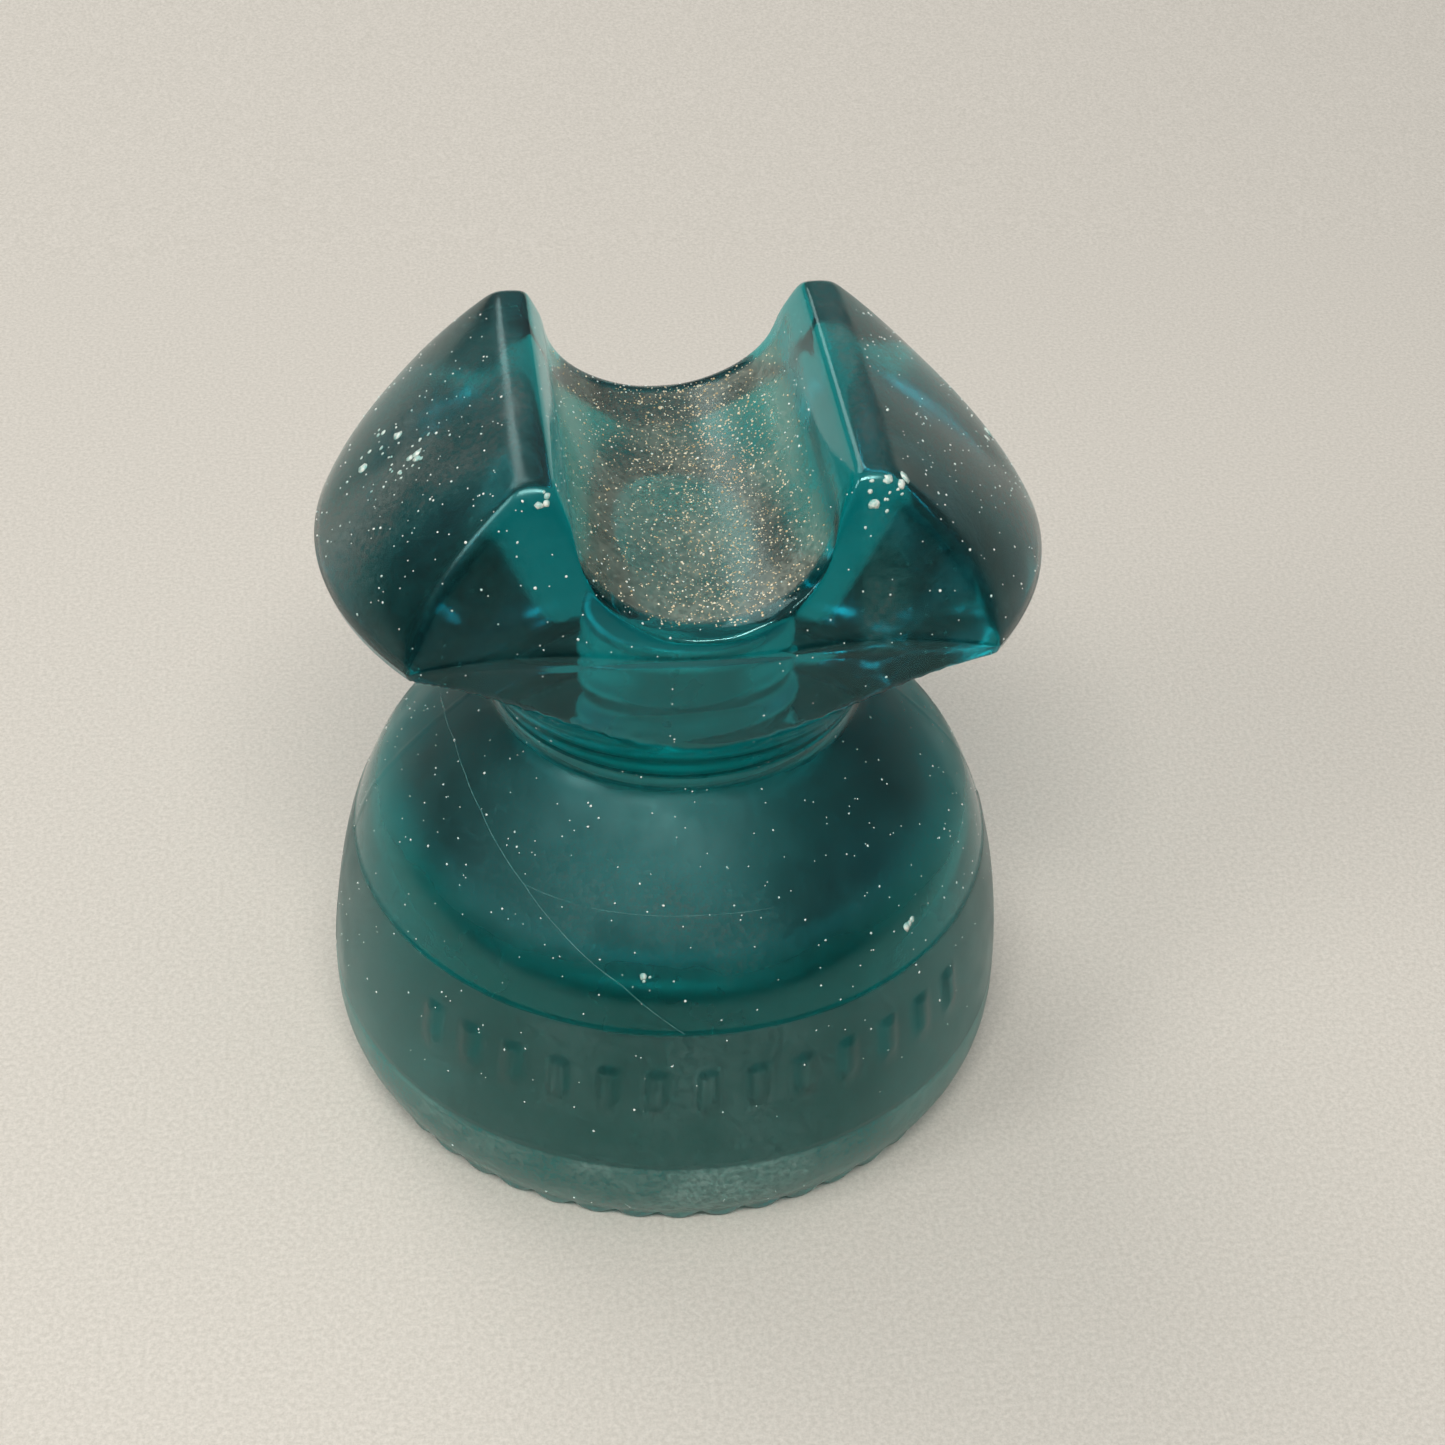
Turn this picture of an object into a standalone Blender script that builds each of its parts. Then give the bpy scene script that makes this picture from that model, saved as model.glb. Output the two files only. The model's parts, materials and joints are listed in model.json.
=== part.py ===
"""Pressed-glass pin insulator with a cable saddle, as one solid piece of glass.

+Z is up, the origin is the middle of the ring of drip points that it stands on, and the
saddle groove runs along Y. Dimensions are in millimetres; the mesh is in metres.
"""

from math import asin, atan2, copysign, cos, pi, radians, sin

import bmesh
import bpy
from mathutils import Vector

MM = 0.001
NEAR = 0.01     # millimetres within which two places count as the same

# overall size
HEIGHT = 120.65
SKIRT_RADIUS = 54.0
SKIRT_WIDEST = 12.0

# outer skirt
DRIP_POINTS = 48
DRIP_HEIGHT = 2.4
DRIP_TIP = 0.5
DRIP_OUTER_RADIUS = 50.8
DRIP_INNER_RADIUS = 46.6
SHOULDER_RADIUS = 45.5
SHOULDER_HEIGHT = 50.0

# radius and height of the two handles that lean each outside curve
DRIP_HANDLES = ((52.9, 4.6), (54.0, 8.5))
SKIRT_HANDLES = ((53.8, 28.0), (50.3, 43.3))
SHOULDER_HANDLES = ((40.4, 57.2), (32.3, 65.0))
FLARE_HANDLES = ((28.6, 75.0), (39.5, 91.0))

# neck and the flare under the head
NECK_RADIUS = 28.0
NECK_BOTTOM = 68.5
NECK_TOP = 69.5
RIM_RADIUS = 52.6
RIM_UNDERSIDE = 94.6
RIM_HEIGHT = 96.0

# head: two ears with the saddle between them
HEAD_HALF_DEPTH = 33.4
CREST_HALF_DEPTH = 26.3
CREST_OUTER = 25.0
EAR_FULLNESS_MIDDLE = 1.27
EAR_FULLNESS_CORNER = 1.65
HEAD_LEVELS = 7

# saddle groove
SADDLE_FLOOR = 99.3
SADDLE_SPRING = 114.5
SADDLE_HALF_WIDTH = 17.8
SADDLE_MOUTH = 20.4
SADDLE_STEPS = 16
LIP_RADIUS = 2.5
LIP_STEPS = 3
CUT_CLEARANCE = 1.0

# pin hole, a tapered hole with a round thread of four turns to the inch
PIN_PITCH = 6.35
PIN_END_HEIGHT = 86.5
PIN_END_RADIUS = 15.4
PIN_THREAD_TOP = 83.0
PIN_THREAD_BOTTOM = 42.0
PIN_TAPER = 1 / 32
THREAD_DEPTH = 1.5
THREAD_STEPS = 4
PIN_ENTRY_RADIUS = 18.6
PIN_ENTRY_TOP = 36.0

# inner petticoat, and the gap between it and the outer skirt
PETTICOAT_BOTTOM = 15.0
PETTICOAT_RADIUS = 30.5
PETTICOAT_CORNER = 3.0
PETTICOAT_ROOT_RADIUS = 31.5
GAP_TOP = 43.0
GAP_CORNER = 3.0
GAP_OUTER_RADIUS = 41.0
SKIRT_INNER_RADIUS = 43.6
SKIRT_INNER_HEIGHT = 24.0

GLASS_COLOUR = (0.015, 0.23, 0.20, 1.0)
GLASS_ROUGHNESS = 0.12


def bezier(start, handles, end, steps):
    """Points along a cubic curve in the radius-height plane, without the first one."""
    corners = (start, *handles, end)
    points = []
    for step in range(1, steps + 1):
        t = step / steps
        weights = ((1 - t) ** 3, 3 * t * (1 - t) ** 2, 3 * t * t * (1 - t), t ** 3)
        points.append(tuple(sum(w * c[i] for w, c in zip(weights, corners)) for i in (0, 1)))
    return points


def pin_hole_radius(height):
    """Mean radius of the tapered thread at this height."""
    return PIN_END_RADIUS + (PIN_END_HEIGHT - height) * PIN_TAPER


def thread_heights():
    """Ring heights down the threaded stretch, THREAD_STEPS to a turn."""
    count = round((PIN_END_HEIGHT - PIN_THREAD_BOTTOM) / PIN_PITCH * THREAD_STEPS)
    drop = (PIN_END_HEIGHT - PIN_THREAD_BOTTOM) / count
    return [PIN_END_HEIGHT - drop * step for step in range(count + 1)]


def turned_profile():
    """Outline from the end of the pin hole, under the skirts and up outside to the rim."""
    line = [(pin_hole_radius(height), height) for height in thread_heights()]

    # mouth of the pin hole and the petticoat's foot
    foot = PETTICOAT_BOTTOM
    corner = PETTICOAT_CORNER
    line += [(PIN_ENTRY_RADIUS, PIN_ENTRY_TOP), (PIN_ENTRY_RADIUS, foot + corner)]
    line += [(PIN_ENTRY_RADIUS + corner, foot), (PETTICOAT_RADIUS - corner, foot)]
    line += [(PETTICOAT_RADIUS, foot + corner)]

    # rounded top of the gap, then down inside the outer skirt
    corner = GAP_CORNER
    line += [(PETTICOAT_ROOT_RADIUS, GAP_TOP - corner), (PETTICOAT_ROOT_RADIUS + corner, GAP_TOP)]
    line += [(GAP_OUTER_RADIUS - corner, GAP_TOP), (GAP_OUTER_RADIUS, GAP_TOP - corner)]
    line += [(SKIRT_INNER_RADIUS, SKIRT_INNER_HEIGHT), (DRIP_INNER_RADIUS, DRIP_HEIGHT)]

    # outside of the skirt, from the drip ring to the shoulder, neck and rim
    drip_edge = (DRIP_OUTER_RADIUS, DRIP_HEIGHT)
    widest = (SKIRT_RADIUS, SKIRT_WIDEST)
    shoulder = (SHOULDER_RADIUS, SHOULDER_HEIGHT)
    neck = (NECK_RADIUS, NECK_BOTTOM)
    flare = (NECK_RADIUS, NECK_TOP)
    rim = (RIM_RADIUS, RIM_UNDERSIDE)
    line.append(drip_edge)
    line += bezier(drip_edge, DRIP_HANDLES, widest, 3)
    line += bezier(widest, SKIRT_HANDLES, shoulder, 6)
    line += bezier(shoulder, SHOULDER_HANDLES, neck, 5)
    line += bezier(flare, FLARE_HANDLES, rim, 6)
    return line


def spin_profile(points):
    """Turn the outline about Z; the ring edges are left open at both of its ends."""
    bm = bmesh.new()
    verts = [bm.verts.new((r * MM, 0, z * MM)) for r, z in points]
    edges = [bm.edges.new(pair) for pair in zip(verts, verts[1:])]
    bmesh.ops.spin(bm, geom=verts + edges, cent=(0, 0, 0), axis=(0, 0, 1), angle=2 * pi,
                   steps=DRIP_POINTS, use_merge=True, use_duplicate=False)
    bmesh.ops.remove_doubles(bm, verts=bm.verts, dist=NEAR * MM)
    return bm


def lies_at(part, height):
    """Whether all the points of an edge or a face are at this height."""
    return all(abs(vert.co.z - height * MM) < NEAR * MM for vert in part.verts)


def ring_edges(bm, height):
    """Edges of the open ring at this height."""
    return [edge for edge in bm.edges if edge.is_boundary and lies_at(edge, height)]


def cut_thread(bm):
    """Move the pin hole's wall in and out along a helix, fading at both ends."""
    for vert in bm.verts:
        height = vert.co.z / MM
        radius = vert.co.xy.length / MM
        inside = abs(radius - pin_hole_radius(height)) < NEAR
        if not inside or not PIN_THREAD_BOTTOM < height < PIN_THREAD_TOP:
            continue
        run_out = min(1.0, (PIN_THREAD_TOP - height) / PIN_PITCH, (height - PIN_THREAD_BOTTOM) / PIN_PITCH)
        turn = atan2(vert.co.y, vert.co.x) / (2 * pi) - height / PIN_PITCH
        depth = THREAD_DEPTH / 2 * run_out * cos(2 * pi * turn)
        vert.co.xy *= (radius + depth) / radius


def add_drip_points(bm):
    """Draw each face of the ring under the skirt down into a blunt point."""
    ring = [face for face in bm.faces if lies_at(face, DRIP_HEIGHT)]
    tips = bmesh.ops.extrude_discrete_faces(bm, faces=ring)["faces"]
    for tip in tips:
        middle = tip.calc_center_median()
        for vert in tip.verts:
            vert.co = middle + (vert.co - middle) * DRIP_TIP
            vert.co.z = 0.0


def square_head(bm):
    """Flatten the flare's front and back below the rim, with a point of each ring in each corner."""
    limit = HEAD_HALF_DEPTH * MM
    for vert in bm.verts:
        radius = vert.co.xy.length
        if vert.co.z < NECK_TOP * MM or radius < limit:
            continue
        angle = asin(min(1.0, abs(vert.co.y) / radius))
        corner = asin(limit / radius)
        if abs(angle - corner) <= pi / DRIP_POINTS:
            vert.co.x = copysign(radius * cos(corner), vert.co.x)
            vert.co.y = copysign(limit, vert.co.y)
        vert.co.y = max(-limit, min(limit, vert.co.y))


def head_point(rim, drop):
    """Where a point of the rim goes in the outline at this level: drop is 1 at the rim, 0 at the crest."""
    towards_corner = abs(rim.y) / HEAD_HALF_DEPTH
    fullness = EAR_FULLNESS_MIDDLE + (EAR_FULLNESS_CORNER - EAR_FULLNESS_MIDDLE) * towards_corner
    spread = 1 - (1 - drop) ** fullness
    half_depth = CREST_HALF_DEPTH + (HEAD_HALF_DEPTH - CREST_HALF_DEPTH) * drop
    corner = RIM_RADIUS * cos(asin(HEAD_HALF_DEPTH / RIM_RADIUS))
    y = rim.y * half_depth / HEAD_HALF_DEPTH
    if abs(rim.y) > HEAD_HALF_DEPTH - NEAR:
        x = rim.x / corner * (CREST_OUTER + (corner - CREST_OUTER) * spread)
    else:
        side = CREST_OUTER if rim.x > 0 else -CREST_OUTER
        x = side + (rim.x - side) * spread
    return Vector((x, y, HEIGHT + (RIM_HEIGHT - HEIGHT) * drop))


def raise_head(bm):
    """Draw the rim up level by level to the crest and close it."""
    loop = ring_edges(bm, RIM_UNDERSIDE)
    drops = [1 - level / HEAD_LEVELS for level in range(HEAD_LEVELS + 1)]
    rim_of = {v: v.co / MM for e in loop for v in e.verts}
    for drop in drops:
        geom = bmesh.ops.extrude_edge_only(bm, edges=loop)["geom"]
        loop = [g for g in geom if isinstance(g, bmesh.types.BMEdge)]
        new_verts = [g for g in geom if isinstance(g, bmesh.types.BMVert)]
        raised = {}
        for vert in new_verts:
            source = min(rim_of, key=lambda v: (v.co - vert.co).length)
            raised[vert] = rim_of[source]
        rim_of = raised
        for vert, rim in rim_of.items():
            vert.co = head_point(rim, drop) * MM
    bmesh.ops.contextual_create(bm, geom=loop)


def face_half_depth(height):
    """Half the head's depth at this height, on its sloping front and back."""
    return CREST_HALF_DEPTH + (HEAD_HALF_DEPTH - CREST_HALF_DEPTH) * (HEIGHT - height) / (HEIGHT - RIM_HEIGHT)


def saddle_section(grow):
    """U outline of the groove, grown outwards at the lips; x and z from mouth to mouth."""
    half_width = SADDLE_HALF_WIDTH + grow
    depth = SADDLE_SPRING - SADDLE_FLOOR + grow
    points = [(-SADDLE_MOUTH - grow, HEIGHT + CUT_CLEARANCE)]
    for step in range(SADDLE_STEPS + 1):
        angle = pi * step / SADDLE_STEPS
        points.append((-half_width * cos(angle), SADDLE_SPRING - depth * sin(angle)))
    points.append((SADDLE_MOUTH + grow, HEIGHT + CUT_CLEARANCE))
    return points


def saddle_cutter():
    """Closed solid that cuts the groove, flaring into rounded lips at the front and back."""
    lips = []
    for step in range(LIP_STEPS + 1):
        angle = pi / 2 * step / LIP_STEPS
        lips.append((LIP_RADIUS * (1 - sin(angle)), LIP_RADIUS * (1 - cos(angle))))
    stations = [(1, -LIP_RADIUS, LIP_RADIUS)]
    stations += [(1, inset, grow) for inset, grow in reversed(lips)]
    stations += [(-1, inset, grow) for inset, grow in lips]
    stations += [(-1, -LIP_RADIUS, LIP_RADIUS)]

    bm = bmesh.new()
    previous = None
    first = None
    for side, inset, grow in stations:
        section = saddle_section(grow)
        verts = [bm.verts.new((x * MM, side * (face_half_depth(z) - inset) * MM, z * MM)) for x, z in section]
        edges = [bm.edges.new((verts[i], verts[(i + 1) % len(verts)])) for i in range(len(verts))]
        if previous:
            bmesh.ops.bridge_loops(bm, edges=previous + edges)
        else:
            first = edges
        previous = edges
    bmesh.ops.contextual_create(bm, geom=first)
    bmesh.ops.contextual_create(bm, geom=previous)
    bmesh.ops.recalc_face_normals(bm, faces=bm.faces)
    return bm


def glass_material():
    material = bpy.data.materials.new("teal_glass")
    material.use_nodes = True
    shader = material.node_tree.nodes["Principled BSDF"]
    shader.inputs["Base Color"].default_value = GLASS_COLOUR
    shader.inputs["Roughness"].default_value = GLASS_ROUGHNESS
    shader.inputs["Metallic"].default_value = 0.0
    shader.inputs["IOR"].default_value = 1.52
    material.diffuse_color = GLASS_COLOUR
    return material


def make_object(name, bm):
    mesh = bpy.data.meshes.new(name)
    bm.to_mesh(mesh)
    bm.free()
    obj = bpy.data.objects.new(name, mesh)
    bpy.context.scene.collection.objects.link(obj)
    return obj


def build_glass_body():
    bm = spin_profile(turned_profile())
    cut_thread(bm)
    add_drip_points(bm)
    square_head(bm)
    raise_head(bm)
    bmesh.ops.contextual_create(bm, geom=ring_edges(bm, PIN_END_HEIGHT))
    bmesh.ops.recalc_face_normals(bm, faces=bm.faces)
    body = make_object("glass_body", bm)
    body.data.materials.append(glass_material())

    cutter = make_object("saddle_cutter", saddle_cutter())
    cutter.hide_render = True
    cutter.display_type = "WIRE"
    groove = body.modifiers.new("saddle groove", "BOOLEAN")
    groove.operation = "DIFFERENCE"
    groove.object = cutter
    body.data.shade_smooth()
    body.data.set_sharp_from_angle(angle=radians(30))
    return body


for old in list(bpy.data.objects):
    bpy.data.objects.remove(old)
build_glass_body()
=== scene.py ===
import json
import random
from math import asin, atan2, copysign, cos, degrees, pi, radians, sin

import bmesh
import bpy
import numpy as np
from mathutils import Matrix, Vector, noise

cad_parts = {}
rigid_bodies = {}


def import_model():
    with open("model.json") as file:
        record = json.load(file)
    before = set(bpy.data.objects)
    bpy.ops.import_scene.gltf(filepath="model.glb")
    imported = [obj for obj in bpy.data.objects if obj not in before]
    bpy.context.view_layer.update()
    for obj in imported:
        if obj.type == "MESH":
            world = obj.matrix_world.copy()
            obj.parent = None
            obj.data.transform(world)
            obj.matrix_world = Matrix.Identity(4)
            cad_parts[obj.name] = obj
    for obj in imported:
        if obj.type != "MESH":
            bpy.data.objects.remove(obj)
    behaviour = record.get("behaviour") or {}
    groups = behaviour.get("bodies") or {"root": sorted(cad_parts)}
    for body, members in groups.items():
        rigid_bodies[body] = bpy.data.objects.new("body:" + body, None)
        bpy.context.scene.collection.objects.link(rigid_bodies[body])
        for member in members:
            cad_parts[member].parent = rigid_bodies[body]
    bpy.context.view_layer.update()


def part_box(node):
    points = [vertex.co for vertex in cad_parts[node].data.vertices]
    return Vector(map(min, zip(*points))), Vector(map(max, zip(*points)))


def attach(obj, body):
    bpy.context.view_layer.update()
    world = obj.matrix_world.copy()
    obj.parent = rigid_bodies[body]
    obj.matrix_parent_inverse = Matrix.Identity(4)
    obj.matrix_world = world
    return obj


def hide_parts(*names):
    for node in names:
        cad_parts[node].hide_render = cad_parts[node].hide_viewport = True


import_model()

# Glass pin insulator. +Z is up, the saddle runs along Y and the ears are at +X and -X.
# Sizes in the settings are millimetres, and mm turns them into Blender's metres.
mm = 0.001
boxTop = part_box("glass_body")[1]
topHeight = boxTop.z / mm
skirtRadius = boxTop.x / mm
joined = 0.004              # points of the turned part and the head nearer than this are one point
degenerate = 0.002


# the turned part: pin hole, petticoat, skirt and neck

turned = {
    "columns": 384,
    "spacing": 2.0,         # between rings, where nothing finer is asked for
    "threadSpacing": 0.9,
    "threadLead": 3.0,      # fine rings start this far before the hole's wall
    "dripSpacing": 0.5,
    "dripReach": 6.0,
    "edgeSpacing": 0.4,     # at the ledge and the crease
    "edgeReach": 1.4,
    "marksSpacing": 0.7,
    "marksReach": 1.2,
    "rimSpacing": 0.9,
    "rimReach": 6.0,
    "lastRing": 0.35,
    "softness": 0.55,       # how far a corner is rounded
    "widestHeight": 12.0,
    "shoulder": (45.5, 50.0),
    "footLeans": ((52.9, 4.6), (skirtRadius, 8.5)),         # the curves' handles, radius and height
    "skirtLeans": ((skirtRadius - 0.2, 28.0), (50.3, 43.3)),
    "shoulderLeans": ((40.4, 57.2), (32.3, 65.0)),
    "flareLeans": ((28.6, 75.0), (39.5, 91.0)),
    "neckRadius": 28.0,
    "neckBottom": 68.5,
    "neckTop": 69.5,
    "rimRadius": 52.6,
    "rimUnderside": 94.6,
    "rimHeight": 96.0,
    "dripCount": 48,
    "dripHeight": 2.4,
    "dripOuter": 50.8,
    "dripInner": 46.6,
    "dripSquareness": 0.5,
    "dripRise": 0.6,        # the skirt's inside wall ends this far above the drip points' roots
    "dripSteps": 16,
    "beadPower": 0.7,
    "ridge": (15.3, 0.16, 0.8),     # height, depth and half width of the line round the skirt's foot
    "holeEnd": 86.5,
    "holeRadius": 15.4,
    "holeTaper": 1 / 32,
    "holeEntry": 18.6,
    "entryTop": 36.0,
    "threadTop": 83.0,
    "threadBottom": 42.0,
    "threadPitch": 6.35,    # four turns to the inch
    "threadDepth": 1.5,
    "footHeight": 15.0,
    "footRadius": 30.5,
    "footCorner": 3.0,
    "rootRadius": 31.5,
    "gapTop": 43.0,
    "gapCorner": 3.0,
    "gapOuter": 41.0,
    "skirtInside": (43.6, 24.0),
    "ledge": (40.0, 0.25, 16.0),    # height, depth and reach of the step left where two mould rings met
    "ledgeRise": 0.4,
    "threadMargin": 0.6,            # how far off the hole's wall a point may be and still be threaded
    "wallBottom": 3.0,              # the outer wall: above this height, outside the gap and the hole
    "wallPastGap": (47.5, 44.0),    # radius, up to a height
    "wallPastHole": 20.0,
}


def bezierPoints(start, leanOut, leanIn, end, steps=24):
    points = []
    for step in range(1, steps + 1):
        t = step / steps
        a, b, c, d = (1 - t) ** 3, 3 * t * (1 - t) ** 2, 3 * t * t * (1 - t), t ** 3
        points.append(tuple(a * start[k] + b * leanOut[k] + c * leanIn[k] + d * end[k] for k in (0, 1)))
    return points


def lengthsAlong(line):
    steps = np.linalg.norm(np.diff(line, axis=0), axis=1)
    return np.concatenate([[0.0], np.cumsum(steps)])


def pointAt(line, lengths, where):
    return np.stack([np.interp(where, lengths, line[:, k]) for k in range(line.shape[1])], axis=-1)


def soften(line, where, softness, fine=0.15):
    # a weighted mean of the line around each place, so that its corners come out round
    lengths = lengthsAlong(line)
    total = lengths[-1]
    dense = np.arange(0, total + fine, fine).clip(0, total)
    densePoints = pointAt(line, lengths, dense)
    reach = np.minimum(softness, np.minimum(where, total - where) * 0.4) + 1e-4
    weights = np.exp(-0.5 * ((dense[None, :] - where[:, None]) / reach[:, None]) ** 2)
    weights /= weights.sum(axis=1, keepdims=True)
    return weights @ densePoints


def holeWall(height):
    return turned["holeRadius"] + (turned["holeEnd"] - height) * turned["holeTaper"]


def turnedOutline():
    # radius and height from the end of the pin hole down, under the skirts and up outside to the rim
    s = turned
    entry, foot, root = s["holeEntry"], s["footRadius"], s["rootRadius"]
    bottom, corner = s["footHeight"], s["footCorner"]
    line = [(0.0, s["holeEnd"]), (holeWall(s["holeEnd"]), s["holeEnd"])]
    line += [(holeWall(s["threadBottom"]), s["threadBottom"]), (entry, s["entryTop"])]
    line += [(entry, bottom + corner), (entry + corner, bottom)]
    line += [(foot - corner, bottom), (foot, bottom + corner)]
    top, corner = s["gapTop"], s["gapCorner"]
    line += [(root, top - corner), (root + corner, top), (s["gapOuter"] - corner, top)]
    line += [(s["gapOuter"], top - corner), s["skirtInside"]]
    line.append((s["dripInner"], s["dripHeight"] + s["dripRise"]))
    middle, half = (s["dripInner"] + s["dripOuter"]) / 2, (s["dripOuter"] - s["dripInner"]) / 2
    for step in range(s["dripSteps"] + 1):
        turn = pi * step / s["dripSteps"]
        sideways = copysign(abs(cos(turn)) ** s["dripSquareness"], cos(turn))
        line.append((middle - half * sideways, s["dripHeight"] * (1 - sin(turn) ** s["dripSquareness"])))
    dripEdge = (s["dripOuter"], s["dripHeight"])
    widest = (skirtRadius, s["widestHeight"])
    neck = (s["neckRadius"], s["neckBottom"])
    rim = (s["rimRadius"], s["rimUnderside"])
    line += bezierPoints(dripEdge, *s["footLeans"], widest)
    line += bezierPoints(widest, *s["skirtLeans"], s["shoulder"])
    line += bezierPoints(s["shoulder"], *s["shoulderLeans"], neck)
    line += bezierPoints((s["neckRadius"], s["neckTop"]), *s["flareLeans"], rim)
    line.append((s["rimRadius"], s["rimHeight"]))
    return np.array(line)


def inOrder(bm):
    # the spin leaves its faces in another order every run, and the grains are dealt by face number
    bm.verts.index_update()
    loops = []
    for face in bm.faces:
        numbers = [vert.index for vert in face.verts]
        first = numbers.index(min(numbers))
        loops.append(numbers[first:] + numbers[:first])
    ordered = bmesh.new()
    verts = [ordered.verts.new(vert.co) for vert in bm.verts]
    for numbers in sorted(loops):
        ordered.faces.new([verts[number] for number in numbers])
    bm.free()
    return ordered


def turnedBody():
    s = turned
    outline = turnedOutline()
    lengths = lengthsAlong(outline)
    whole = lengths[-1]
    threadStart = s["holeRadius"]
    threadEnd = threadStart + (s["holeEnd"] - s["threadBottom"])
    dripMiddle = lengths[np.argmin(outline[:, 1])]
    outside = lengths > dripMiddle
    ledgePlace, ridgePlace, marksPlace = [
        np.interp(height, outline[outside, 1], lengths[outside])
        for height in (s["ledge"][0], s["ridge"][0], marks["middle"])]

    # rings are closer on the thread, the drip points, the raised marks, the ledge and the rim
    places = [0.0]
    while places[-1] < whole - s["rimSpacing"]:
        here = places[-1]
        step = s["spacing"]
        if threadStart - s["threadLead"] < here < threadEnd:
            step = s["threadSpacing"]
        elif abs(here - dripMiddle) < s["dripReach"]:
            step = s["dripSpacing"]
        elif min(abs(here - ledgePlace), abs(here - ridgePlace)) < s["edgeReach"]:
            step = s["edgeSpacing"]
        elif abs(here - marksPlace) < marks["tall"] / 2 + s["marksReach"]:
            step = s["marksSpacing"]
        elif here > whole - s["rimReach"]:
            step = s["rimSpacing"]
        places.append(here + step)
    places[-1] = whole - s["lastRing"]
    places.append(whole)
    rings = soften(outline, np.array(places), s["softness"])
    rings[0] = (0.0, s["holeEnd"])

    bm = bmesh.new()
    verts = [bm.verts.new((r * mm, 0, z * mm)) for r, z in rings]
    edges = [bm.edges.new(pair) for pair in zip(verts, verts[1:])]
    bmesh.ops.spin(bm, geom=verts + edges, cent=(0, 0, 0), axis=(0, 0, 1), angle=2 * pi,
                   steps=s["columns"], use_merge=True, use_duplicate=False)
    bmesh.ops.remove_doubles(bm, verts=bm.verts, dist=degenerate * mm)
    bm = inOrder(bm)
    print("turned body:", len(bm.verts), "points,", len(rings), "rings")
    return bm


def cutThread(bm):
    s = turned
    for vert in bm.verts:
        height, radius = vert.co.z / mm, vert.co.xy.length / mm
        if radius > holeWall(height) + s["threadMargin"]:
            continue
        if not s["threadBottom"] < height < s["threadTop"]:
            continue
        runOut = min(s["threadTop"] - height, height - s["threadBottom"], s["threadPitch"]) / s["threadPitch"]
        turn = atan2(vert.co.y, vert.co.x) / (2 * pi) - height / s["threadPitch"]
        depth = s["threadDepth"] / 2 * runOut * cos(2 * pi * turn)
        vert.co.xy *= (radius + depth) / radius


def raiseDripPoints(bm):
    s = turned
    for vert in bm.verts:
        height, radius = vert.co.z / mm, vert.co.xy.length / mm
        if height > s["dripHeight"] or radius < s["dripInner"] - 1:
            continue
        around = atan2(vert.co.y, vert.co.x)
        bead = abs(sin(around * s["dripCount"] / 2)) ** s["beadPower"]
        vert.co.z = (s["dripHeight"] - (s["dripHeight"] - height) * bead) * mm


def outerWall(vert):
    gapRadius, gapHeight = turned["wallPastGap"]
    limit = gapRadius if vert.co.z < gapHeight * mm else turned["wallPastHole"]
    return vert.co.z > turned["wallBottom"] * mm and vert.co.xy.length / mm > limit


def cutLedge(bm):
    # the upper mould ring stood a little inside the lower one, and a crease runs round the foot
    top, depth, reach = turned["ledge"]
    crease, sink, half = turned["ridge"]
    for vert in bm.verts:
        height = vert.co.z / mm
        if not outerWall(vert):
            continue
        inset = 0.0
        if top < height < top + reach:
            inset = depth * min(1.0, (height - top) / turned["ledgeRise"]) * (1 - (height - top) / reach)
        elif abs(height - crease) < half:
            inset = sink * (1 - abs(height - crease) / half)
        radius = vert.co.xy.length / mm
        vert.co.xy *= (radius - inset) / radius


# plain raised bars round the front of the skirt
marks = {
    "count": 13,
    "firstAngle": -139.0,
    "lastAngle": -41.0,
    "middle": 30.9,
    "tall": 5.4,
    "wide": 1.8,
    "raise": 0.7,
    "edge": 0.8,            # width of the slope round each bar
}


def raiseMarks(bm):
    m = marks
    relief = bm.verts.layers.float.new("relief")
    pitch = (m["lastAngle"] - m["firstAngle"]) / (m["count"] - 1)
    for vert in bm.verts:
        up = abs(vert.co.z / mm - m["middle"])
        if not outerWall(vert) or up > m["tall"]:
            continue
        angle = degrees(atan2(vert.co.y, vert.co.x))
        nearest = round((angle - m["firstAngle"]) / pitch)
        if not 0 <= nearest < m["count"]:
            continue
        radius = vert.co.xy.length / mm
        sideways = abs(radians(angle - m["firstAngle"] - nearest * pitch) * radius)
        outX, outZ = max(0.0, sideways - m["wide"] / 2), max(0.0, up - m["tall"] / 2)
        near = max(0.0, 1 - (outX * outX + outZ * outZ) ** 0.5 / m["edge"])
        vert[relief] = near * near * (3 - 2 * near)
        vert.co.xy *= (radius + m["raise"] * vert[relief]) / radius


# pressed glass is never quite even, and the mould leaves a thread of glass wherever it opened
surface = {
    "wave": 0.10,           # always inwards
    "waveLength": 13.0,
    "seam": 0.13,
    "seamHalf": 0.02,       # the seam is the one line of points nearest to y = 0
    "rimFlash": 0.18,
    "rimHalf": 0.03,
    "flareRadius": 33.0,
    "holeRadius": 19.0,     # everything inside this, up to the hole's end, stays even
    "evenBelow": 3.0,
    "boxMargin": 0.03,
}


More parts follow.
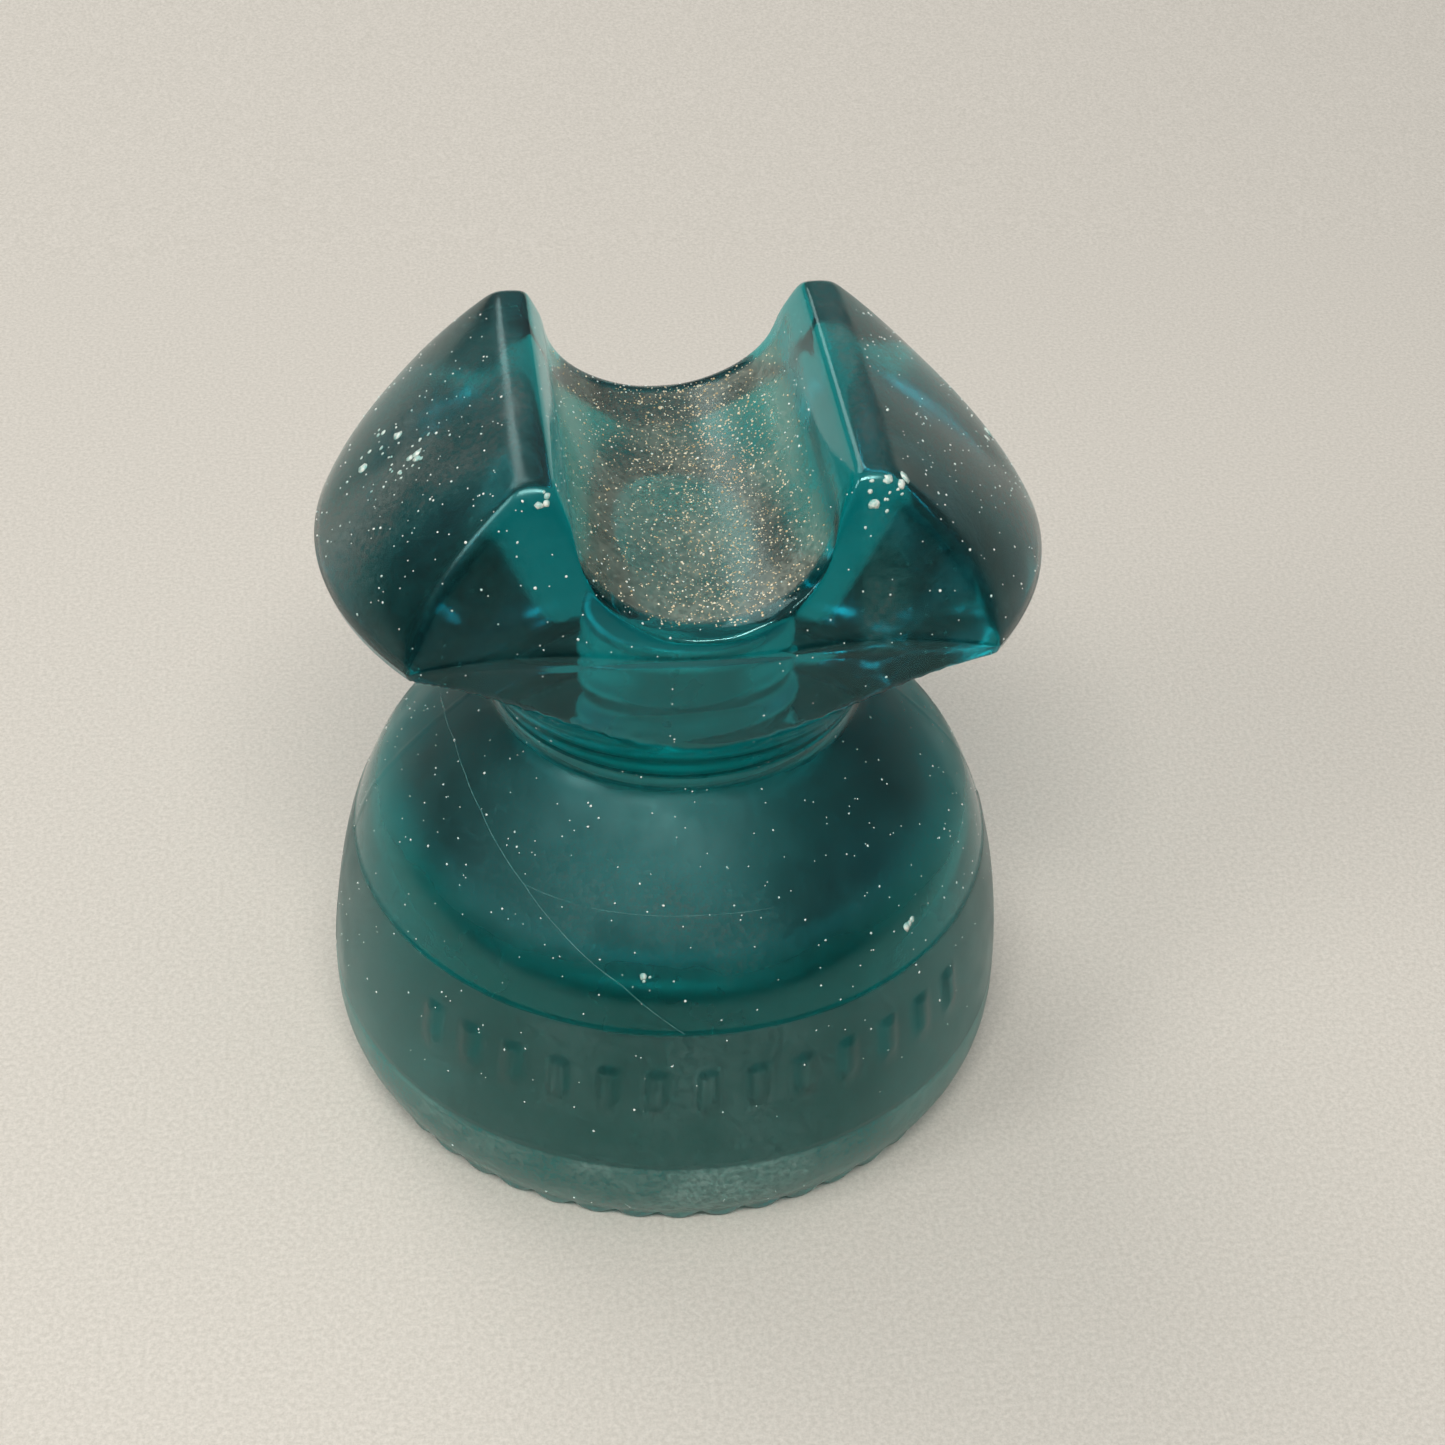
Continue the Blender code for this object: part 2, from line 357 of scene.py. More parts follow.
def wavyGlass(bm):
    limit = (skirtRadius - surface["boxMargin"]) * mm
    bm.normal_update()
    for vert in bm.verts:
        radius, height = vert.co.xy.length / mm, vert.co.z / mm
        inHole = radius < surface["holeRadius"] and height < turned["holeEnd"] + 0.1
        if not inHole and height > surface["evenBelow"]:
            depth = 0.5 + 0.5 * noise.noise(vert.co / (surface["waveLength"] * mm))
            vert.co -= vert.normal * depth * surface["wave"] * mm
        onSeam = abs(vert.co.y) < surface["seamHalf"] * mm and height < turned["rimUnderside"]
        if onSeam and not inHole and outerWall(vert):
            vert.co += vert.normal * surface["seam"] * mm
        if abs(height - turned["rimHeight"]) < surface["rimHalf"] and radius > surface["flareRadius"]:
            vert.co.xy *= 1 + surface["rimFlash"] / radius
        reach = vert.co.xy.length
        if reach > limit:
            vert.co.xy *= limit / reach
        vert.co.z = min(vert.co.z, boxTop.z)


# the head: two ears with the saddle between them

head = {
    "halfDepth": 33.4,
    "crestHalfDepth": 26.3,
    "crestOuter": 25.0,
    "earFullnessMiddle": 1.27,
    "earFullnessCorner": 1.65,
    "saddleFloor": 99.3,
    "saddleSpring": 114.5,
    "saddleHalfWidth": 17.8,
    "saddleMouth": 20.4,
    "slopeSteps": 20,
    "slopeStop": 2.2,       # the slope's even points stop this far short of the crest
    "crestSteps": 13,
    "crestStop": 2.8,       # the crest's fine points run this far down into the saddle
    "faceRows": 16,
    "crestSoftness": 1.05,
    "edgeSoftness": 1.6,
    "faceLean": 0.288,      # how far the front and back faces lean in for each millimetre up
}


def cornerAngle(radius):
    return asin(min(1.0, head["halfDepth"] / radius))


def squareHead(bm):
    # the flare is flat at the front and back, with one point of each ring in every corner
    limit = head["halfDepth"] * mm
    for vert in bm.verts:
        radius = vert.co.xy.length
        if vert.co.z < turned["neckTop"] * mm or radius < limit:
            continue
        angle = asin(min(1.0, abs(vert.co.y) / radius))
        corner = cornerAngle(radius / mm)
        if abs(angle - corner) <= pi / turned["columns"]:
            vert.co.x = copysign(radius * cos(corner), vert.co.x)
            vert.co.y = copysign(limit, vert.co.y)
        vert.co.y = max(-limit, min(limit, vert.co.y))


def faceHalfDepth(height):
    drop = (topHeight - height) / (topHeight - turned["rimHeight"])
    return head["crestHalfDepth"] + (head["halfDepth"] - head["crestHalfDepth"]) * drop


def headSection(rimX, rimY, steps=60):
    # outline across the head above one pair of rim points: ear and crest, then the saddle
    h = head
    towardsCorner = abs(rimY) / h["halfDepth"]
    fullness = h["earFullnessMiddle"] + (h["earFullnessCorner"] - h["earFullnessMiddle"]) * towardsCorner
    ear = []
    for step in range(steps + 1):
        drop = 1 - step / steps
        spread = 1 - (1 - drop) ** fullness
        ear.append((-h["crestOuter"] - (rimX - h["crestOuter"]) * spread,
                    topHeight + (turned["rimHeight"] - topHeight) * drop))
    groove = [(-h["saddleMouth"], topHeight)]
    for step in range(steps + 1):
        turn = pi * step / steps
        groove.append((-h["saddleHalfWidth"] * cos(turn),
                       h["saddleSpring"] - (h["saddleSpring"] - h["saddleFloor"]) * sin(turn)))
    return np.array(ear), np.array(groove)


def sectionPoints(rimX, rimY, count):
    # every section has the same number of points on its ears, crests and saddle
    h = head
    ear, groove = headSection(rimX, rimY)
    mirrored = ear[::-1] * (-1, 1)
    line = np.concatenate([ear, groove, [(h["saddleMouth"], topHeight)], mirrored])
    lengths = lengthsAlong(line)
    total = lengths[-1]
    earLength = lengths[len(ear) - 1]
    crestBack = h["crestOuter"] - h["saddleMouth"]
    stops = [0.0, earLength - h["slopeStop"], earLength + crestBack + h["crestStop"]]
    shares = [h["slopeSteps"], h["crestSteps"]]
    places = [0.0]
    for share, start, end in zip(shares, stops, stops[1:]):
        places += [start + (end - start) * (k + 1) / share for k in range(share)]
    middle = count - 2 * sum(shares)
    start, end = stops[-1], total - stops[-1]
    places += [start + (end - start) * (k + 1) / middle for k in range(middle)]
    places += [total - p for p in reversed(places[:sum(shares)])]
    return soften(line, np.array(places), h["crestSoftness"])


def addHead(bm):
    # a grid laid over the head: up the front, across the top from lip to lip and down the back
    s, h = turned, head
    step = 2 * pi / s["columns"]
    cornerColumn = round(cornerAngle(s["rimRadius"]) / step)
    across = s["columns"] // 2 - 2 * cornerColumn
    sideways = 2 * cornerColumn
    rows = h["faceRows"]

    # rim points, exactly as the turned part leaves them
    corner = (s["rimRadius"] * cos(cornerAngle(s["rimRadius"])), h["halfDepth"])
    arc = []
    for k in range(-cornerColumn, cornerColumn + 1):
        point = (s["rimRadius"] * cos(k * step), s["rimRadius"] * sin(k * step))
        arc.append(point if abs(k) < cornerColumn else (corner[0], copysign(corner[1], k)))
    chord = []
    for k in range(across + 1):
        inner = s["rimRadius"] * -cos((cornerColumn + k) * step)
        chord.append(inner if 0 < k < across else copysign(corner[0], inner))

    sheet = np.zeros((across + 1, sideways + 1, 3))
    for column, (rimX, rimY) in enumerate(arc):
        points = sectionPoints(rimX, rimY, across)
        sheet[:, column, 0] = points[:, 0]
        sheet[:, column, 2] = points[:, 1]
        share = rimY / h["halfDepth"]
        sheet[:, column, 1] = [share * faceHalfDepth(z) for z in points[:, 1]]
        sheet[0, column] = (-rimX, rimY, s["rimHeight"])
        sheet[-1, column] = (rimX, rimY, s["rimHeight"])

    lines = []
    for i in range(across + 1):
        foot = np.array((chord[i], -h["halfDepth"], s["rimHeight"]))
        edge = sheet[i, 0]
        far = sheet[i, -1]
        farFoot = foot * (1, -1, 1)
        rise = np.linspace(0, 1, rows + 1)[:-1, None]
        if i in (0, across):
            lines.append(np.concatenate([edge + 0 * rise, sheet[i], far + 0 * rise]))
            continue
        front = foot + (edge - foot) * rise
        back = (far + (farFoot - far) * rise)[1:]
        raw = np.concatenate([front, sheet[i], back, [farFoot]])
        lines.append(soften(raw, lengthsAlong(raw), h["edgeSoftness"]))

    grid = bmesh.ops.create_grid(bm, x_segments=across, y_segments=2 * rows + sideways, size=1.0)["verts"]
    for vert in grid:
        i = round((vert.co.x + 1) / 2 * across)
        k = round((vert.co.y + 1) / 2 * (2 * rows + sideways))
        vert.co = Vector(lines[i][k]) * mm
    print("head grid:", len(grid), "points over", across, "by", sideways)


def finishedPiece(name, bm, material):
    for face in bm.faces:
        face.smooth = True
    mesh = bpy.data.meshes.new(name)
    bm.to_mesh(mesh)
    bm.free()
    mesh.materials.append(material)
    piece = bpy.data.objects.new(name, mesh)
    bpy.context.scene.collection.objects.link(piece)
    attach(piece, "root")
    return piece


def buildGlass(material):
    bm = turnedBody()
    cutThread(bm)
    raiseDripPoints(bm)
    cutLedge(bm)
    raiseMarks(bm)
    squareHead(bm)
    addHead(bm)
    bmesh.ops.remove_doubles(bm, verts=bm.verts, dist=joined * mm)
    bmesh.ops.dissolve_degenerate(bm, edges=bm.edges, dist=degenerate * mm)
    bmesh.ops.recalc_face_normals(bm, faces=bm.faces)
    wavyGlass(bm)
    piece = finishedPiece("insulatorGlass", bm, material)
    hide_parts("glass_body")
    print("glass piece:", len(piece.data.vertices), "points")
    return piece


# dust grains, grit in the saddle and bruised flakes, half sunk in the surface; some pale flakes on the
# crests' front ends stand for glints, a painted highlight
grains = {
    "paleDust": {
        "count": 1500, "size": (0.12, 0.27), "seed": 5, "flatness": 0.7, "slide": 0.8,
        "upright": 0.2,             # share of the dust that steep walls hold
        "headHeight": 95.0,
        "headShare": 1.3,
        "look": ((0.55, 0.70, 0.66, 1), (0.95, 0.97, 0.90, 1), 0.6),
    },
    "saddleGrit": {
        "count": 2600, "size": (0.10, 0.26), "seed": 9, "flatness": 0.8, "slide": 0.8,
        "halfWidth": 17.5,
        "heights": (98.5, 117.0),
        "halfDepth": 31.5,
        "drift": (7.0, 9.0, 0.35),  # middle and reach of the heap, and the share that lies elsewhere
        "look": ((0.56, 0.41, 0.21, 1), (0.96, 0.87, 0.67, 1), 0.5),
    },
    "bruisesAndGlints": {
        "size": (0.3, 1.25), "seed": 14, "flatness": 0.25, "slide": 0.5,
        "closeness": 0.7,
        "look": ((0.30, 0.55, 0.50, 1), (0.80, 0.86, 0.78, 1), 0.35),
    },
}
grainShape = {
    "narrowest": 0.7,
    "dents": (0.75, 1.15),
    "smallness": 3,             # the higher, the fewer large grains
}
grainLimits = {                 # faces that may carry grains
    "hole": (19.8, 87.0),       # radius and height that belong to the pin hole, and to the gap
    "gap": (47.6, 43.6),
    "lowest": 4.0,
    "sideMargin": 0.5,          # grains stay this far inside the box
    "topMargin": 1.0,
}
bruiseAndGlintSpots = (                 # middle, reach and number of flakes
    ((-40.0, -1.6, 110.0), 6.5, 20),
    ((-41.5, 6.0, 107.5), 4.5, 10),
    # chips on the right crest's front corner, whose pale flakes also stand for its glints: partly painted
    # highlight
    ((24.0, -26.0, 118.5), 3.6, 14),
    # pale flakes at the left crest's front end: a painted glint
    ((-21.5, -25.8, 119.6), 2.0, 5),
    ((-8.3, -46.2, 47.3), 0.9, 3),
    ((31.5, -35.9, 45.9), 1.2, 3),
    ((47.5, 8.0, 104.0), 2.5, 4),
    ((-20.0, 44.0, 50.0), 2.5, 5),
)


def surfaceTable(piece):
    # middle, normal and area of every face, in millimetres
    mesh = piece.data
    middles = np.zeros(len(mesh.polygons) * 3)
    normals = np.zeros(len(mesh.polygons) * 3)
    areas = np.zeros(len(mesh.polygons))
    mesh.polygons.foreach_get("center", middles)
    mesh.polygons.foreach_get("normal", normals)
    mesh.polygons.foreach_get("area", areas)
    return middles.reshape(-1, 3) / mm, normals.reshape(-1, 3), areas


def outsideFaces(middles):
    limits = grainLimits
    radius, height = np.hypot(middles[:, 0], middles[:, 1]), middles[:, 2]
    inHole = (radius < limits["hole"][0]) & (height < limits["hole"][1])
    inGap = (radius < limits["gap"][0]) & (height < limits["gap"][1])
    inBox = (radius < skirtRadius - limits["sideMargin"]) & (height < topHeight - limits["topMargin"])
    return ~(inHole | inGap) & inBox & (height > limits["lowest"])


def addGrain(bm, place, normal, size, flatness, dice):
    turn = normal.to_track_quat("Z", "Y").to_matrix().to_4x4() @ Matrix.Rotation(dice.uniform(0, pi), 4, "Z")
    width = size * dice.uniform(grainShape["narrowest"], 1.0)
    shape = Matrix.Diagonal((size, width, size * flatness, 1))
    matrix = Matrix.Translation(place) @ turn @ shape
    made = bmesh.ops.create_icosphere(bm, subdivisions=1, radius=mm, matrix=matrix)["verts"]
    for vert in made:
        vert.co = place + (vert.co - place) * dice.uniform(*grainShape["dents"])


def scatter(bm, table, weights, count, settings, dice):
    middles, normals, areas = table
    steps = np.cumsum(weights * areas)
    smallest, largest = settings["size"]
    for number in range(count):
        face = int(np.searchsorted(steps, dice.random() * steps[-1]))
        normal = Vector(normals[face])
        slide = Vector([dice.uniform(-settings["slide"], settings["slide"]) for axis in range(3)])
        slide -= normal * slide.dot(normal)
        size = smallest + (largest - smallest) * dice.random() ** grainShape["smallness"]
        addGrain(bm, (Vector(middles[face]) + slide) * mm, normal, size, settings["flatness"], dice)


def layGrains(name, table, heaps):
    # heaps is a list of weights for the faces, each with its number of grains
    settings = grains[name]
    dice = random.Random(settings["seed"])
    bm = bmesh.new()
    for weights, count in heaps:
        scatter(bm, table, weights, count, settings, dice)
    finishedPiece(name, bm, specks(name, *settings["look"]))


def buildGrains(glass):
    table = surfaceTable(glass)
    middles, normals, areas = table
    x, y, z = middles.T
    outside = outsideFaces(middles)
    upward = np.clip(normals[:, 2], 0, 1)

    dust = grains["paleDust"]
    weights = outside * (dust["upright"] + upward) * np.where(z > dust["headHeight"], dust["headShare"], 1.0)
    layGrains("paleDust", table, [(weights, dust["count"])])

    # the grit gathers in the saddle's floor and to the right of it
    grit = grains["saddleGrit"]
    lowest, highest = grit["heights"]
    faceDepth = abs(y) + (z - turned["rimHeight"]) * head["faceLean"]
    inSaddle = outside & (abs(x) < grit["halfWidth"]) & (z > lowest) & (z < highest)
    inSaddle &= faceDepth < grit["halfDepth"]
    middle, reach, elsewhere = grit["drift"]
    drift = np.exp(-((x - middle) / reach) ** 2) + elsewhere
    layGrains("saddleGrit", table, [(inSaddle * upward ** 2 * drift, grit["count"])])

    heaps = []
    for spot, reach, count in bruiseAndGlintSpots:
        apart = np.linalg.norm(middles - spot, axis=1)
        near = np.exp(-(apart / (reach * grains["bruisesAndGlints"]["closeness"])) ** 2)
        heaps.append((outside * near, count))
    layGrains("bruisesAndGlints", table, heaps)
    print("dust, grit and bruises laid on")


# fine threads of glass on the shoulder: a fold line and a ring where the mould parts met
threads = {
    "foldLine": {"thickness": 0.055, "turns": (171, 178, -168, -157, -146, -136, -128, -118, -105, -94),
                 "heights": (61.1, 61.9, 62.4, 61.5, 59.9, 57.6, 55.5, 52.0, 46.9, 40.3)},
    "ringLine": {"thickness": 0.03, "turns": (-128, -115, -102, -89, -76),
                 "heights": (55.5, 55.3, 55.4, 55.5, 55.2)},
}
threadSteps = 12                # between two of the settings' points
threadSink = 0.08
threadLook = ((0.03, 0.16, 0.16, 1), (0.12, 0.30, 0.29, 1), 0.3)


def buildThreads():
    outline = turnedOutline()
    outside = outline[np.argmin(outline[:, 1]):]
    for name, line in threads.items():
        curve = bpy.data.curves.new(name, "CURVE")
        curve.dimensions = "3D"
        curve.bevel_depth = line["thickness"] * mm
        curve.bevel_resolution = 1
        curve.use_fill_caps = True
        turns = np.unwrap(np.radians(line["turns"]))
        spline = curve.splines.new("POLY")
        steps = threadSteps * (len(turns) - 1)
        spline.points.add(steps)
        for number in range(steps + 1):
            where = number / threadSteps
            turn = np.interp(where, range(len(turns)), turns)
            height = np.interp(where, range(len(turns)), line["heights"])
            radius = np.interp(height, outside[:, 1], outside[:, 0]) - threadSink
            spline.points[number].co = (radius * cos(turn) * mm, radius * sin(turn) * mm, height * mm, 1)
        curve.materials.append(specks(name, *threadLook))
        piece = bpy.data.objects.new(name, curve)
        bpy.context.scene.collection.objects.link(piece)
        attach(piece, "root")


glassLook = {
    "absorption": (0.0, 0.874, 0.886, 1.0),     # what is left of each colour; the rest is taken out
    "density": 200.0,                           # per metre
    "ior": 1.52,
    "specular": 0.28,
    "specularTint": (0.5, 1.0, 1.0, 1.0),
    "clear": (0.08, 0.95, 0.93, 1.0),           # the glass where it is clean
    # the film colour is dust, and low on the shoulder's left it is also painted sheen
    "film": (0.30, 0.47, 0.44, 1.0),            # dust on the outside
    # the foot's lighter film is dust with painted light in it
    "footFilmAndLight": (0.46, 0.68, 0.62, 1.0),
    "saddleFilm": (0.50, 0.52, 0.42, 1.0),
    "holeFilm": (0.75, 0.82, 0.78, 1.0),
    "gapFilm": (0.34, 0.40, 0.36, 1.0),
    "bump": (0.35, 0.06),                       # strength, and depth in millimetres
    "endDust": 0.15,                            # share of the slopes' dust that reaches their ends
    "brinkShade": 3.6,
    "footPaintedLight": 0.75,
    "cloudFloor": 0.55,
    "grainFloor": 0.45,
    "roughSpread": 0.5,                         # how far clouds of dust change the roughness
}
# where each zone of the glass begins and ends: two values, and the mask goes from 0 to 1 between them
fades = {
    "holeRadius": (19.8, 19.4),
    "holeTop": (86.9, 86.7),
    "gapRadius": (47.6, 47.2),
    "gapTop": (43.6, 43.4),
    "gapSides": (28.0, 42.0),
    "band": (40.2, 39.8),
    "foot": (15.6, 14.8),
    "upward": (0.12, 0.55),
    "head": (95.0, 97.0),
    "saddleWidth": (18.8, 17.8),
    "saddleDepth": (31.2, 29.4),
    "slopeWidth": (21.0, 24.0),
    "slopeMiddle": (23.0, 9.0),
    "streakInner": (20.5, 22.0),
    "streakOuter": (29.0, 25.0),
    "shoulderBottom": (45.0, 53.0),
    "shoulderTop": (70.0, 66.0),
    "sheenBottom": (45.0, 50.0),
    "sheenTop": (66.0, 55.0),
    "sheenRight": (20.0, -4.0),
    "sheenLeft": (-30.0, -12.0),
    "clouds": (0.32, 0.72),
    "grain": (0.35, 0.7),
    "clean": (0.12, 0.018),
    "specks": (0.35, 0.65),
    "paper": (0.3, 0.7),
}
# how much film lies in each zone, and how much rougher the zone is than clean glass
filmShares = {"clean": 0.014, "band": 0.06, "foot": 0.11, "slope": 0.10, "saddle": 0.22, "shoulder": 0.012,
              "haze": 0.038, "streak": 0.04, "hole": 0.24, "gap": 0.12, "gapSides": 0.16}
roughShares = {"clean": 0.10, "band": 0.27, "slope": 0.12, "saddle": 0.19, "shoulder": 0.40, "inside": 0.22}
noises = {                      # size of a blotch in millimetres, detail and roughness
    "clouds": (16.0, 4.0, 0.55),
    "grain": (0.9, 6.0, 0.75),
    "waves": (2.6, 4.0, 0.6),
    "specks": (0.8, 2.0, 0.55),
    "paper": (0.8, 5.0, 0.8),
}


def newMaterial(name):
    material = bpy.data.materials.new(name)
    material.use_nodes = True
    return material, material.node_tree, material.node_tree.nodes["Principled BSDF"]


class NodeDesk:
    # short ways to lay out and join shader nodes

    def __init__(self, tree):
        self.tree = tree
        self.place = tree.nodes.new("ShaderNodeTexCoord").outputs["Object"]

    def plug(self, value, socket):
        if isinstance(value, (int, float, tuple)):
            socket.default_value = value
        else:
            self.tree.links.new(value, socket)

    def math(self, operation, a, b=0.0, clamp=False):
        node = self.tree.nodes.new("ShaderNodeMath")
        node.operation = operation
        node.use_clamp = clamp
        self.plug(a, node.inputs[0])
        self.plug(b, node.inputs[1])
        return node.outputs[0]

    def step(self, value, start, end):
        # 0 before start and 1 past end, smooth between them
        node = self.tree.nodes.new("ShaderNodeMapRange")
        node.interpolation_type = "SMOOTHSTEP"
        self.plug(value, node.inputs["Value"])
        flip = start > end
        node.inputs["From Min"].default_value = min(start, end)
        node.inputs["From Max"].default_value = max(start, end)
        node.inputs["To Min"].default_value = 1.0 if flip else 0.0
        node.inputs["To Max"].default_value = 0.0 if flip else 1.0
        return node.outputs["Result"]

    def noise(self, name):
        size, detail, fineness = noises[name]
        node = self.tree.nodes.new("ShaderNodeTexNoise")
        self.plug(self.place, node.inputs["Vector"])
        node.inputs["Scale"].default_value = 1 / (size * mm)
        node.inputs["Detail"].default_value = detail
        node.inputs["Roughness"].default_value = fineness
        return node.outputs["Fac"]

    def fade(self, value, name):
        return self.step(value, *fades[name])

    def scaled(self, mask, amount, offset=0.0):
        # amount of the mask, on top of offset
        return self.math("ADD", offset, self.math("MULTIPLY", mask, amount))

    def mix(self, share, a, b):
        node = self.tree.nodes.new("ShaderNodeMix")
        node.data_type = "RGBA"
        self.plug(share, node.inputs["Factor"])
        self.plug(a, node.inputs["A"])
        self.plug(b, node.inputs["B"])
        return node.outputs["Result"]

    def both(self, *masks):
        result = masks[0]
        for mask in masks[1:]:
            result = self.math("MULTIPLY", result, mask)
        return result

    def either(self, *masks):
        result = masks[0]
        for mask in masks[1:]:
            result = self.math("MAXIMUM", result, mask)
        return result

    def turnedPlace(self):
        # radius and height in millimetres
        split = self.tree.nodes.new("ShaderNodeSeparateXYZ")
        self.plug(self.place, split.inputs[0])
        x, y, z = split.outputs
        squared = self.math("ADD", self.math("MULTIPLY", x, x), self.math("MULTIPLY", y, y))
        radius = self.math("DIVIDE", self.math("SQRT", squared), mm)
        return x, y, radius, self.math("DIVIDE", z, mm)


def tealGlass():
    look = glassLook
    material, tree, shader = newMaterial("tealGlass")
    desk = NodeDesk(tree)
    x, y, radius, height = desk.turnedPlace()
    normal = tree.nodes.new("ShaderNodeNewGeometry").outputs["Normal"]
    facing = tree.nodes.new("ShaderNodeSeparateXYZ")
    desk.plug(normal, facing.inputs[0])
    sideways, forward = desk.math("DIVIDE", x, mm), desk.math("DIVIDE", y, mm)
    across, along = desk.math("ABSOLUTE", sideways), desk.math("ABSOLUTE", forward)

    # where on the piece: inside, the matte band, the head with its slopes and saddle, the shoulder
    inHole = desk.both(desk.fade(radius, "holeRadius"), desk.fade(height, "holeTop"))
    inGap = desk.both(desk.fade(radius, "gapRadius"), desk.fade(height, "gapTop"))
    # painted shade: extra film on the gap's walls towards the left and right darkens the skirt's sides
    gapSides = desk.both(inGap, desk.fade(across, "gapSides"))
    inside = desk.either(inHole, inGap)
    outside = desk.math("SUBTRACT", 1.0, inside)
    band = desk.both(outside, desk.fade(height, "band"))
    # painted light: the foot below the crease gets a lighter film and clearer glass than the band, for the
    # light that comes through its thick glass; the film is dust as well
    foot = desk.both(band, desk.fade(height, "foot"))
    upward = desk.fade(facing.outputs[2], "upward")
    onHead = desk.fade(height, "head")
    rise = desk.math("SUBTRACT", height, turned["rimHeight"])
    faceDepth = desk.math("ADD", along, desk.math("MULTIPLY", rise, head["faceLean"]))
    saddle = desk.both(onHead, desk.fade(across, "saddleWidth"), desk.fade(faceDepth, "saddleDepth"))
    slope = desk.both(onHead, upward, desk.fade(across, "slopeWidth"))
    ends = desk.scaled(desk.fade(along, "slopeMiddle"), 1 - look["endDust"], look["endDust"])
    dustySlope = desk.both(slope, ends)
    streak = desk.both(onHead, desk.fade(sideways, "streakInner"), desk.fade(across, "streakOuter"))
    shoulder = desk.both(outside, desk.fade(height, "shoulderBottom"), desk.fade(height, "shoulderTop"))
    # painted sheen: more pale film low on the shoulder, left of the middle, stands for a lamp's glow on the
    # dusty glass there; it is dust as well
    haze = desk.both(outside, desk.fade(height, "sheenBottom"), desk.fade(height, "sheenTop"),
                     desk.fade(sideways, "sheenRight"), desk.fade(sideways, "sheenLeft"))

    # less dust holds on the steep edges of the raised bars, and the darker outline this leaves round each bar
    # is painted shade for the relief
    relief = tree.nodes.new("ShaderNodeAttribute")
    relief.attribute_name = "relief"
    relief = relief.outputs["Fac"]
    brink = desk.both(relief, desk.math("SUBTRACT", 1.0, relief))
    bandDustAndEdgeShade = desk.both(band, desk.scaled(brink, -look["brinkShade"], 1.0))

    # dust lies in clouds with finer grain in them
    clouds = desk.fade(desk.noise("clouds"), "clouds")
    grain = desk.fade(desk.noise("grain"), "grain")
    patchy = desk.both(desk.math("ADD", clouds, look["cloudFloor"]),
                       desk.math("ADD", grain, look["grainFloor"]))
    film = filmShares["clean"]
    # film on each zone: dust, with painted light on the foot, painted sheen on the shoulder and painted shade
    # at the bars' edges
    dustAndPaintedLight = {"band": bandDustAndEdgeShade, "foot": foot, "slope": dustySlope, "saddle": desk.both(saddle, upward),
             "shoulder": shoulder, "haze": haze, "streak": streak}
    for zone, mask in dustAndPaintedLight.items():
        film = desk.scaled(mask, filmShares[zone], film)
    film = desk.math("MULTIPLY", film, patchy, clamp=True)
    for zone, mask in (("hole", inHole), ("gap", inGap), ("gapSides", gapSides)):
        film = desk.scaled(mask, filmShares[zone], film)
    film = desk.math("MINIMUM", film, 1.0)
    desk.plug(desk.math("SUBTRACT", 1.0, film), shader.inputs["Transmission Weight"])

    colour = look["film"]
    for mask, name in ((saddle, "saddleFilm"), (foot, "footFilmAndLight"), (inGap, "gapFilm"), (inHole, "holeFilm")):
        colour = desk.mix(mask, colour, look[name])
    # the band's glass takes the film's grey-green tint, less so on the foot, where the clearer glass is
    # painted light
    dull = desk.both(band, desk.scaled(foot, -look["footPaintedLight"], 1.0))
    clean = desk.both(desk.fade(film, "clean"), desk.math("SUBTRACT", 1.0, dull))
    desk.plug(desk.mix(clean, colour, look["clear"]), shader.inputs["Base Color"])

    rough = roughShares["clean"]
    rougher = {"band": band, "slope": slope, "saddle": saddle, "shoulder": shoulder, "inside": inside}
    for zone, mask in rougher.items():
        rough = desk.scaled(mask, roughShares[zone], rough)
    spread = desk.scaled(clouds, look["roughSpread"], 1 - look["roughSpread"] / 2)
    rough = desk.math("MULTIPLY", rough, spread, clamp=True)
    desk.plug(rough, shader.inputs["Roughness"])

    bump = tree.nodes.new("ShaderNodeBump")
    strength, depth = look["bump"]
    bump.inputs["Strength"].default_value = strength
    bump.inputs["Distance"].default_value = depth * mm
    desk.plug(desk.noise("waves"), bump.inputs["Height"])
    desk.plug(bump.outputs["Normal"], shader.inputs["Normal"])

    shader.inputs["IOR"].default_value = look["ior"]
    shader.inputs["Specular IOR Level"].default_value = look["specular"]
    shader.inputs["Specular Tint"].default_value = look["specularTint"]
    depths = tree.nodes.new("ShaderNodeVolumeAbsorption")
    depths.inputs["Color"].default_value = look["absorption"]
    depths.inputs["Density"].default_value = look["density"]
    tree.links.new(depths.outputs["Volume"], tree.nodes["Material Output"].inputs["Volume"])
    return material


def specks(name, darker, lighter, rough):
    material, tree, shader = newMaterial(name)
    desk = NodeDesk(tree)
    colour = desk.mix(desk.fade(desk.noise("specks"), "specks"), darker, lighter)
    desk.plug(colour, shader.inputs["Base Color"])
    shader.inputs["Roughness"].default_value = rough
    return material


paperLook = {
    "colours": ((0.57, 0.54, 0.48, 1), (0.73, 0.69, 0.625, 1)),
    "rough": 0.75,
    "specular": 0.2,
}


def paper():
    material, tree, shader = newMaterial("palePaper")
    desk = NodeDesk(tree)
    mottle = desk.fade(desk.noise("paper"), "paper")
    desk.plug(desk.mix(mottle, *paperLook["colours"]), shader.inputs["Base Color"])
    shader.inputs["Roughness"].default_value = paperLook["rough"]
    shader.inputs["Specular IOR Level"].default_value = paperLook["specular"]
    return material


